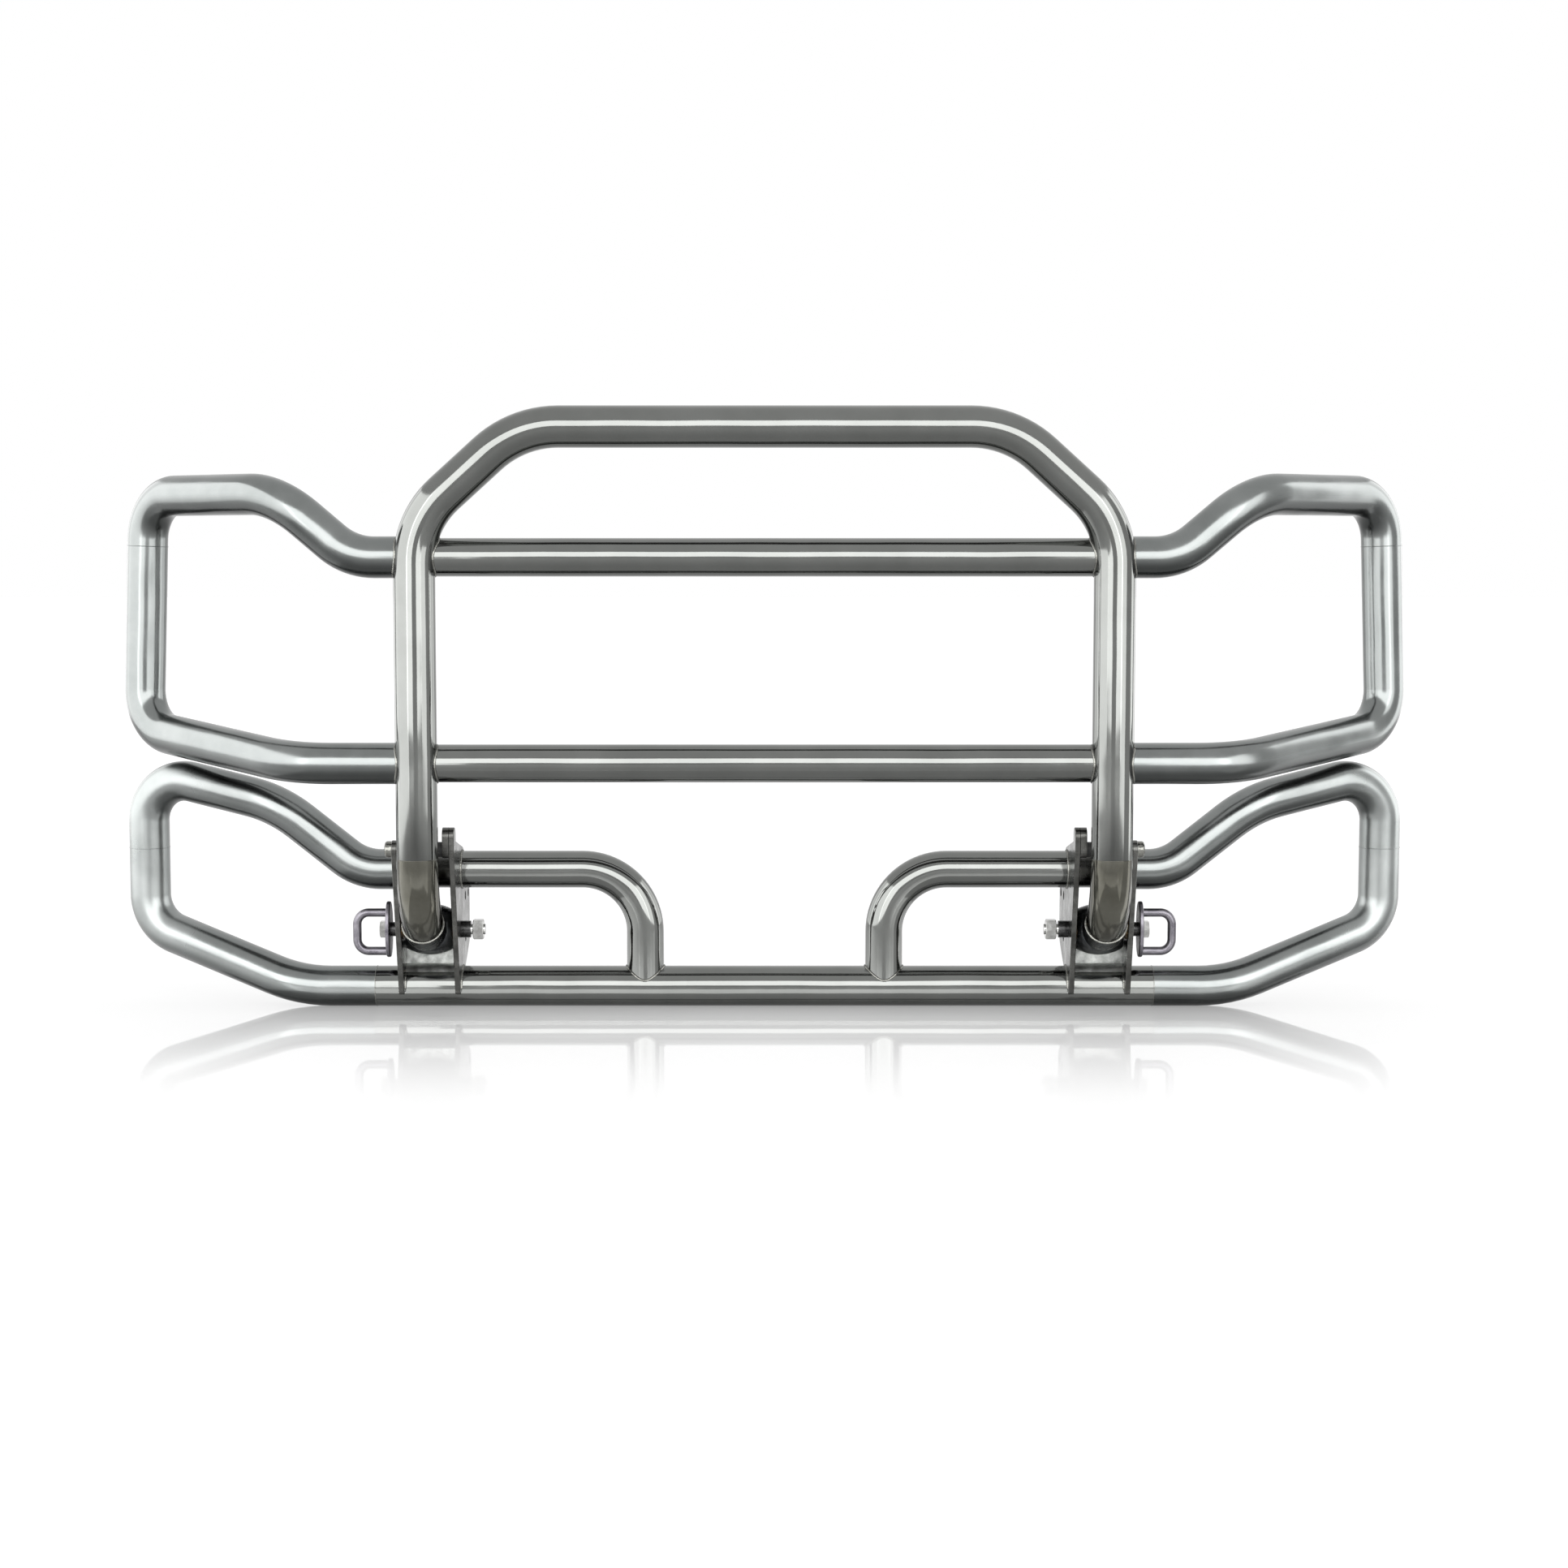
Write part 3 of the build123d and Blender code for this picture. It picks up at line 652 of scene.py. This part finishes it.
def facing(direction):
    """The turn that points a primitive's own +Z along a direction."""
    return Vector(direction).to_track_quat("Z", "Y").to_euler()


def push_to(start, end):
    """Extrude the selected ring from one place to another, unless they are the same."""
    if (end - start).length > shortest_run:
        bpy.ops.mesh.extrude_region_move(TRANSFORM_OT_translate={"value": end - start})


def bend_tube(name, corners, bends, radius, ring_points=tube_sides):
    """Closed round tube along straight runs, with one bend radius for each inner corner."""
    corners = [Vector(corner) for corner in corners]
    bpy.ops.object.select_all(action="DESELECT")
    bpy.ops.mesh.primitive_circle_add(
        vertices=ring_points, radius=radius, fill_type="NOTHING",
        location=corners[0], rotation=facing(corners[1] - corners[0]),
    )
    tube = bpy.context.object
    tube.name = name
    settle(tube)
    bpy.ops.object.mode_set(mode="EDIT")
    bpy.ops.mesh.select_all(action="SELECT")
    here = corners[0]
    for before, corner, after, bend in zip(corners, corners[1:], corners[2:], bends):
        way_in = (corner - before).normalized()
        way_out = (after - corner).normalized()
        turn = way_in.angle(way_out)
        bend_start = corner - way_in * bend * tan(turn / 2)
        axis = way_in.cross(way_out).normalized()
        die = bend_start + axis.cross(way_in) * bend
        push_to(here, bend_start)
        rings = max(fewest_rings, round(turn / radians(degrees_per_ring)))
        bpy.ops.mesh.spin(steps=rings, angle=turn, center=die, axis=-axis)
        here = corner + way_out * bend * tan(turn / 2)
    push_to(here, corners[-1])
    bpy.ops.mesh.select_all(action="SELECT")
    bpy.ops.mesh.remove_doubles(threshold=merge_distance)
    bpy.ops.mesh.fill_holes(sides=0)
    bpy.ops.mesh.select_all(action="SELECT")
    bpy.ops.mesh.normals_make_consistent(inside=False)
    bpy.ops.object.mode_set(mode="OBJECT")
    bpy.ops.object.shade_smooth_by_angle(angle=tube_smooth_angle)
    bpy.ops.object.select_all(action="DESELECT")
    return tube


def dress(piece, body, finish, slot, *nodes):
    """Give a piece its finish and its moving body, and let it stand for CAD nodes if some are named."""
    piece.data.materials.clear()
    piece.data.materials.append(finish)
    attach(piece, body)
    if nodes:
        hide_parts(*nodes)
    return piece


print("a quarter bend has", round(90.0 / degrees_per_ring), "rings of", tube_sides, "points")

# %% [markdown]
# ## Hoop
#
# The hoop is the tall middle frame. It could be three pieces with mitred corners, but the real one is a
# single tube: up the left upright, over the shoulders and the top, and down the right upright. It ends
# where the elbows are welded on.

# %% Hoop
tube_radius = 0.0381
bar_radius = 0.035
upright_x = 0.635
upright_y = -0.145
foot_z = 0.300
shoulder_z = 0.914
top_half = 0.446
top_z = 1.085
shoulder_bend = 0.170
top_bend = 0.190

hoop = bend_tube(
    "hoop_tube",
    [
        (-upright_x, upright_y, foot_z),
        (-upright_x, upright_y, shoulder_z),
        (-top_half, upright_y, top_z),
        (top_half, upright_y, top_z),
        (upright_x, upright_y, shoulder_z),
        (upright_x, upright_y, foot_z),
    ],
    [shoulder_bend, top_bend, top_bend, shoulder_bend],
    tube_radius,
)
dress(hoop, "upper_section", hoop_steel, "polished_tube", "center_hoop")
print("hoop faces:", len(hoop.data.polygons))

# %% [markdown]
# ## Cross bars
#
# Two straight bars of thinner tube tie the uprights together. They sit a little behind the uprights'
# middle, so that the uprights stand proud in front. The real ends are cut to fit the uprights. Here
# each bar simply ends inside them, where the cut does not show.

# %% Cross bars
upper_bar_z = 0.850
lower_bar_z = 0.474
bar_y = -0.125

for name, bar_z in (("upper_cross_bar", upper_bar_z), ("lower_cross_bar", lower_bar_z)):
    bar = bend_tube(
        name + "_tube",
        [(-upright_x, bar_y, bar_z), (0.0, bar_y, bar_z), (upright_x, bar_y, bar_z)],
        [],
        bar_radius,
    )
    dress(bar, "upper_section", tube_steel, "polished_tube", name)
print("bars at", upper_bar_z, "and", lower_bar_z)

# %% [markdown]
# ## Upper wings
#
# Each upper wing leaves the upright, rises over the headlight, turns down at the tip and comes back
# under the headlight. The tip lies behind the uprights, because the truck's corners fall back, so the
# bends lie in several planes. A flat outline could not be bent that way afterwards, but spinning round
# a free axis does it at once, so both halves of the wing are one long tube.

# %% Upper wings
wing_root_x = 0.753
wing_rise_x = 0.891
wing_rise_y = -0.105
wing_top_x = 1.178
wing_top_z = 0.965
wing_low_x = 1.194
wing_low_z = 0.520
wing_return_x = 0.863
tip_y = 0.145
wing_bends = [0.120, 0.150, 0.085, 0.085, 0.200]

for side, sign in sides:
    wing = bend_tube(
        f"upper_wing_{side}_tube",
        [
            (sign * upright_x, bar_y, upper_bar_z),
            (sign * wing_root_x, bar_y, upper_bar_z),
            (sign * wing_rise_x, wing_rise_y, wing_top_z),
            (sign * wing_top_x, tip_y, wing_top_z),
            (sign * wing_low_x, tip_y, wing_low_z),
            (sign * wing_return_x, bar_y, lower_bar_z),
            (sign * upright_x, bar_y, lower_bar_z),
        ],
        wing_bends,
        tube_radius,
    )
    dress(
        wing, "upper_section", wing_steel, "polished_tube",
        f"upper_wing_top_{side}", f"upper_wing_low_{side}",
    )
print("upper wing faces:", len(wing.data.polygons))

# %% [markdown]
# ## Foot elbows
#
# A short elbow turns each upright back to its hub. It could be part of the hoop, but the real one is
# welded on as a quarter bend of the same tube, and it has a finish of its own, so it is a piece of its
# own. It ends inside the cast hub.

# %% Foot elbows
pivot_y = 0.005
pivot_z = 0.150
elbow_bend = foot_z - pivot_z

for side, sign in sides:
    elbow = bend_tube(
        f"foot_elbow_{side}_tube",
        [
            (sign * upright_x, upright_y, foot_z),
            (sign * upright_x, upright_y, pivot_z),
            (sign * upright_x, pivot_y, pivot_z),
        ],
        [elbow_bend - shortest_run],
        tube_radius,
    )
    dress(elbow, "upper_section", shaded_elbow_steel, "polished_tube", f"foot_elbow_{side}")
print("elbow bend", elbow_bend)

# %% [markdown]
# ## Hub sockets
#
# The cast hub reaches up the elbow with a short socket, which holds the elbow's end and carries the
# weld. Scaling up a copy of the elbow would shift its bend, so the socket is bent afresh: the same
# curve, one and a half millimetres outside the tube.

# %% Hub sockets
socket_low_angle = radians(4.0)
socket_top_angle = radians(30.0)
socket_skin = 0.0015
socket_half_turn = (socket_top_angle - socket_low_angle) / 2
socket_corner_radius = elbow_bend / cos(socket_half_turn)


def elbow_point(elbow_x, angle, radius):
    """Point at an angle before the elbow's end and at a distance from the centre of its bend."""
    return Vector((elbow_x, pivot_y - radius * sin(angle), foot_z - radius * cos(angle)))


for side, sign in sides:
    socket = bend_tube(
        f"hub_socket_{side}",
        [
            elbow_point(sign * upright_x, socket_top_angle, elbow_bend),
            elbow_point(sign * upright_x, socket_low_angle + socket_half_turn, socket_corner_radius),
            elbow_point(sign * upright_x, socket_low_angle, elbow_bend),
        ],
        [elbow_bend - shortest_run],
        tube_radius + socket_skin,
    )
    dress(socket, "upper_section", hub_casting, "hub_casting")
print("sockets end", round(1000 * elbow_bend * socket_top_angle), "mm up the elbow")

# %% [markdown]
# ## Bottom tube
#
# The lower section carries the rest. Its straight bottom tube lies on the ground between two butt
# welds. A cylinder would do for it, but the tube helper gives it the same number of sides as its
# neighbours, so that the mirrored lines run on across the welds.

# %% Bottom tube
bottom_y = 0.030
bottom_z = tube_radius
butt_x = 0.735

bottom_tube = bend_tube(
    "bottom_tube_tube",
    [(-butt_x, bottom_y, bottom_z), (0.0, bottom_y, bottom_z), (butt_x, bottom_y, bottom_z)],
    [],
    tube_radius,
)
dress(bottom_tube, "lower_section", tube_steel, "polished_tube", "bottom_tube")
print("bottom tube", 2 * butt_x, "m long")

# %% [markdown]
# ## Lower wings and inner arms
#
# A lower wing goes round the bumper's corner, from the outer bracket plate out to the tip and back to
# the butt weld. An inner arm leaves each inner plate and turns down to the bottom tube. Mirroring one
# side would turn its faces inside out, so both sides are bent, with the sign of X as the only change.

# %% Lower wings and inner arms
hub_x = 0.630
bracket_gap = 0.096
bracket_plate = 0.010
plate_inner_x = hub_x - bracket_gap / 2 - bracket_plate
plate_outer_x = hub_x + bracket_gap / 2 + bracket_plate
arm_z = 0.261
arm_x = 0.226
arm_bend = 0.118
lower_root_x = 0.763
lower_rise_x = 0.922
lower_rise_y = 0.045
lower_rise_z = 0.384
lower_tip_x = 1.184
lower_tip_y = 0.125
lower_top_z = 0.4398
lower_low_z = 0.145
lower_return_x = 0.880
lower_wing_bends = [0.110, 0.220, 0.078, 0.080, 0.260]

for side, sign in sides:
    lower_wing = bend_tube(
        f"lower_wing_{side}_tube",
        [
            (sign * plate_outer_x, bottom_y, arm_z),
            (sign * lower_root_x, bottom_y, arm_z),
            (sign * lower_rise_x, lower_rise_y, lower_rise_z),
            (sign * lower_tip_x, lower_tip_y, lower_top_z),
            (sign * lower_tip_x, lower_tip_y, lower_low_z),
            (sign * lower_return_x, bottom_y, bottom_z),
            (sign * butt_x, bottom_y, bottom_z),
        ],
        lower_wing_bends,
        tube_radius,
    )
    dress(
        lower_wing, "lower_section", low_wing_steel, "polished_tube",
        f"lower_wing_top_{side}", f"lower_wing_low_{side}",
    )
    arm = bend_tube(
        f"inner_arm_{side}_tube",
        [
            (sign * plate_inner_x, bottom_y, arm_z),
            (sign * arm_x, bottom_y, arm_z),
            (sign * arm_x, bottom_y, bottom_z),
        ],
        [arm_bend],
        bar_radius,
    )
    dress(arm, "lower_section", tube_steel, "polished_tube", f"inner_arm_{side}")
print("lower wing and arm faces:", len(lower_wing.data.polygons), len(arm.data.polygons))

# %% [markdown]
# ## Handle rings
#
# A D-shaped ring on each oval plate turns the screw by hand. A torus would give a round ring, but the
# real one is a round rod with two bends and its ends welded to the plate, so the tube helper makes it,
# with fewer sides.

# %% Handle rings
handle_face_x = 0.7126
handle_reach = 0.056
handle_span = 0.073
handle_drop = 0.005
handle_grip_x = handle_face_x + handle_reach
handle_top_z = pivot_z - handle_drop + handle_span / 2
handle_low_z = pivot_z - handle_drop - handle_span / 2
handle_bend = 0.022
rod_radius = 0.008
rod_sides = 40

for side, sign in sides:
    handle = bend_tube(
        f"handle_{side}_rod",
        [
            (sign * handle_face_x, pivot_y, handle_top_z),
            (sign * handle_grip_x, pivot_y, handle_top_z),
            (sign * handle_grip_x, pivot_y, handle_low_z),
            (sign * handle_face_x, pivot_y, handle_low_z),
        ],
        [handle_bend, handle_bend],
        rod_radius,
        rod_sides,
    )
    dress(handle, f"pivot_screw_{side}", handle_steel, "handle_steel", f"handle_ring_{side}")
print("handle rings stand out", round(1000 * handle_reach), "mm")

# %% [markdown]
# ## Weld beads
#
# Every joint of the guard is welded by hand, and the bead shows as a rippled cord in the corner. A bump
# in the material would vanish at the edge of the tube, so the beads are geometry. A ring of the tube's
# own size is pushed along its axis onto the other piece with a Shrinkwrap modifier, so it takes the
# saddle shape of the joint. Then it becomes a curve, gets a thickness that swells and shrinks from
# point to point, and is turned back into a mesh.

# %% Weld bead helper
bead_points = 110
bead_ripple = 0.16
bead_roundness = 2
bead_depth = 0.0024
seam_depth = 0.0007
bead_smooth_angle = radians(60.0)


def weld_bead(name, centre, direction, radius, depth, onto=None, keep=None):
    """Rippled bead round a ring, pressed onto a piece if one is named and kept only where asked."""
    bpy.ops.object.select_all(action="DESELECT")
    bpy.ops.mesh.primitive_circle_add(
        vertices=bead_points, radius=radius, fill_type="NOTHING",
        location=centre, rotation=facing(direction),
    )
    bead = bpy.context.object
    bead.name = name
    if onto:
        press = bead.modifiers.new("press", "SHRINKWRAP")
        press.wrap_method = "PROJECT"
        press.target = onto
        press.use_project_z = True
        press.use_positive_direction = True
        bpy.ops.object.modifier_apply(modifier=press.name)
    settle(bead)
    if keep:
        bpy.ops.object.mode_set(mode="EDIT")
        bpy.ops.mesh.select_mode(type="VERT")
        bpy.ops.mesh.select_all(action="DESELECT")
        bpy.ops.object.mode_set(mode="OBJECT")
        for vertex in bead.data.vertices:
            vertex.select = not keep(vertex.co)
        bpy.ops.object.mode_set(mode="EDIT")
        bpy.ops.mesh.delete(type="VERT")
        bpy.ops.object.mode_set(mode="OBJECT")
    bpy.ops.object.convert(target="CURVE")
    bead.data.bevel_depth = depth
    bead.data.bevel_resolution = bead_roundness
    bead.data.use_fill_caps = True
    for spline in bead.data.splines:
        for number, point in enumerate(spline.points):
            point.radius = 1.0 + bead_ripple * (-1) ** number
    bpy.ops.object.convert(target="MESH")
    bpy.ops.object.mode_set(mode="EDIT")
    bpy.ops.mesh.select_all(action="SELECT")
    bpy.ops.mesh.remove_doubles(threshold=merge_distance)
    bpy.ops.mesh.normals_make_consistent(inside=False)
    bpy.ops.object.mode_set(mode="OBJECT")
    bpy.ops.object.shade_smooth_by_angle(angle=bead_smooth_angle)
    bpy.ops.object.select_all(action="DESELECT")
    return bead


def dress_bead(bead, body, finish=weld_steel):
    """Give a bead its finish and its moving body."""
    return dress(bead, body, finish, "polished_tube")


print("beads swell by", round(100 * bead_ripple), "percent")

# %% [markdown]
# ## Beads of the upper section
#
# The bars and the wings meet the uprights in saddles. The rings start a hand's width away from the
# upright and are pushed onto it. Because the bars sit further back, the rear of each ring passes the
# upright, and that part is cut away. The elbow has a bead where it leaves the hub's socket. The butt
# welds at the uprights' feet and in the tips are ground flush, so only a thin seam is left, in the
# finish of the tube.

# %% Beads of the upper section
start_gap = 0.10
landing_margin = 0.0008
upper_seam_x = 1.1814
upper_seam_z = 0.870
upper_tip_way = (wing_low_x - wing_top_x, 0.0, wing_low_z - wing_top_z)


def on_upright(place):
    """Whether a point of a ring has landed on the upright."""
    return abs(place.y - upright_y) < tube_radius - landing_margin


for side, sign in sides:
    for bar_name, bar_z in (("upper", upper_bar_z), ("lower", lower_bar_z)):
        bar_bead = weld_bead(
            f"{bar_name}_bar_bead_{side}", (sign * (upright_x - start_gap), bar_y, bar_z),
            (sign, 0, 0), bar_radius, bead_depth, hoop, on_upright,
        )
        wing_bead = weld_bead(
            f"{bar_name}_wing_bead_{side}", (sign * (upright_x + start_gap), bar_y, bar_z),
            (-sign, 0, 0), tube_radius, bead_depth, hoop, on_upright,
        )
        dress_bead(bar_bead, "upper_section")
        dress_bead(wing_bead, "upper_section")
    foot_seam = weld_bead(
        f"foot_seam_{side}", (sign * upright_x, upright_y, foot_z), (0, 0, 1), tube_radius, seam_depth
    )
    socket_bead = weld_bead(
        f"socket_bead_{side}", elbow_point(sign * upright_x, socket_top_angle, elbow_bend),
        (0, cos(socket_top_angle), -sin(socket_top_angle)), tube_radius, bead_depth,
    )
    tip_seam = weld_bead(
        f"upper_tip_seam_{side}", (sign * upper_seam_x, tip_y, upper_seam_z),
        (sign * upper_tip_way[0], upper_tip_way[1], upper_tip_way[2]), tube_radius, seam_depth,
    )
    dress_bead(foot_seam, "upper_section", shaded_elbow_steel)
    dress_bead(socket_bead, "upper_section")
    dress_bead(tip_seam, "upper_section", wing_steel)

# %% [markdown]
# ## Beads of the lower section
#
# Arms and wings end square on the bracket plates, so their beads are plain rings. Each plate hugs the
# bottom tube from its nose to its rear edge. A whole ring there would show under the tube, so the bead
# is kept only where the plate touches the tube.

# %% Beads of the lower section
plate_faces_x = (
    plate_inner_x, plate_inner_x + bracket_plate, plate_outer_x - bracket_plate, plate_outer_x
)
nose_y = -0.0156
nose_low_z = 0.034
plate_edge_slope = 0.49
lower_seam_z = 0.2928


def under_plate(place):
    """Whether a point of the bottom tube is covered by a bracket plate."""
    return place.z > nose_low_z + max(0.0, place.y - nose_y) * plate_edge_slope


for side, sign in sides:
    arm_bead = weld_bead(
        f"arm_bead_{side}", (sign * plate_inner_x, bottom_y, arm_z), (1, 0, 0), bar_radius, bead_depth
    )
    wing_bead = weld_bead(
        f"wing_bead_{side}", (sign * plate_outer_x, bottom_y, arm_z), (1, 0, 0), tube_radius, bead_depth
    )
    foot_bead = weld_bead(
        f"arm_foot_bead_{side}", (sign * arm_x, bottom_y, bottom_z + start_gap), (0, 0, -1),
        bar_radius, bead_depth, bottom_tube,
    )
    butt_seam = weld_bead(
        f"butt_seam_{side}", (sign * butt_x, bottom_y, bottom_z), (1, 0, 0), tube_radius, seam_depth
    )
    tip_seam = weld_bead(
        f"lower_tip_seam_{side}", (sign * lower_tip_x, lower_tip_y, lower_seam_z), (0, 0, 1),
        tube_radius, seam_depth,
    )
    for bead in (arm_bead, wing_bead, foot_bead, butt_seam):
        dress_bead(bead, "lower_section")
    dress_bead(tip_seam, "lower_section", low_wing_steel)
    for number, face_x in enumerate(plate_faces_x):
        plate_bead = weld_bead(
            f"plate_bead_{side}_{number}", (sign * face_x, bottom_y, bottom_z), (1, 0, 0),
            tube_radius, bead_depth, keep=under_plate,
        )
        dress_bead(plate_bead, "lower_section")
    for number, leg_z in enumerate((handle_top_z, handle_low_z)):
        leg_bead = weld_bead(
            f"handle_bead_{side}_{number}", (sign * handle_face_x, pivot_y, leg_z), (1, 0, 0),
            rod_radius, bead_depth / 2,
        )
        dress(leg_bead, f"pivot_screw_{side}", handle_steel, "handle_steel")
